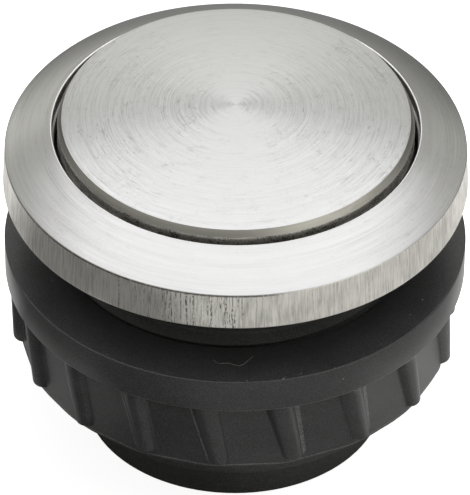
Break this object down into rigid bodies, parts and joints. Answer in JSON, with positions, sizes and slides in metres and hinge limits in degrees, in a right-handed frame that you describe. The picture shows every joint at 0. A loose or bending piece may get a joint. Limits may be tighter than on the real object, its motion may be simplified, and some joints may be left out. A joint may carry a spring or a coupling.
{
  "type": "doorbell button",
  "caption": "Round panel-mounted doorbell button: steel cap in a sloping steel bezel on a black threaded barrel, with a ribbed ring nut and screw terminals behind.",
  "frame": {"origin": "middle of the rear face, on the button's axis, where it stands", "axes": "+Z out of the cap along the button's axis; the two terminals lie along X, the wires leave towards +Y"},
  "size_m": [0.0292, 0.0292, 0.024],
  "materials": {
    "bezel_steel": "stainless steel, concentric brushed face and fine vertical grain on the wall",
    "cap_steel": "stainless steel, fine concentric turning marks",
    "plunger_moulding": "black moulded plastic",
    "housing_moulding": "black moulded plastic, satin",
    "nut_moulding": "black moulded plastic, satin, slightly glossier on the ribs",
    "base_moulding": "black moulded plastic, satin",
    "retainer_moulding": "natural moulded plastic",
    "spring_wire": "bright spring wire",
    "contact_brass": "stamped brass strip",
    "contact_silver": "silver contact rivet",
    "screw_steel": "zinc-plated steel",
    "plate_steel": "zinc-plated steel, stamped"
  },
  "bodies": {
    "switch_body": {"housing": "housing_moulding", "bezel": "bezel_steel", "terminal_base": "base_moulding", "return_spring": "spring_wire", "left_fixed_contact": "contact_brass", "right_fixed_contact": "contact_brass", "left_fixed_tip": "contact_silver", "right_fixed_tip": "contact_silver"},
    "push_button": {"plunger": "plunger_moulding", "cap": "cap_steel", "bridge_retainer": "retainer_moulding", "contact_spring": "spring_wire"},
    "moving_contact": {"contact_bridge": "contact_brass", "left_bridge_tip": "contact_silver", "right_bridge_tip": "contact_silver"},
    "nut": {"ring_nut": "nut_moulding"},
    "left_screw": {"left_terminal_screw": "screw_steel", "left_clamp_plate": "plate_steel"},
    "right_screw": {"right_terminal_screw": "screw_steel", "right_clamp_plate": "plate_steel"}
  },
  "joints": [
    {"name": "button_press", "type": "slide", "parent": "switch_body", "child": "push_button", "axis": [0, 0, -1], "range_m": [0, 0.0012], "stiffness_N_per_m": 1250, "springref_m": -0.0012, "deforming": ["return_spring"]},
    {"name": "bridge_float", "type": "slide", "parent": "push_button", "child": "moving_contact", "axis": [0, 0, 1], "range_m": [0, 0.0004], "deforming": ["contact_spring"]},
    {"name": "nut_travel", "type": "slide", "parent": "switch_body", "child": "nut", "axis": [0, 0, 1], "range_m": [-0.005, 0.0043]},
    {"name": "left_screw_travel", "type": "slide", "parent": "switch_body", "child": "left_screw", "axis": [0, 0, -1], "range_m": [0, 0.0012]},
    {"name": "right_screw_travel", "type": "slide", "parent": "switch_body", "child": "right_screw", "axis": [0, 0, -1], "range_m": [0, 0.0012]}
  ],
  "couplings": [
    {"joint": "bridge_float", "follows": "button_press", "ratio": 0.33333}
  ]
}
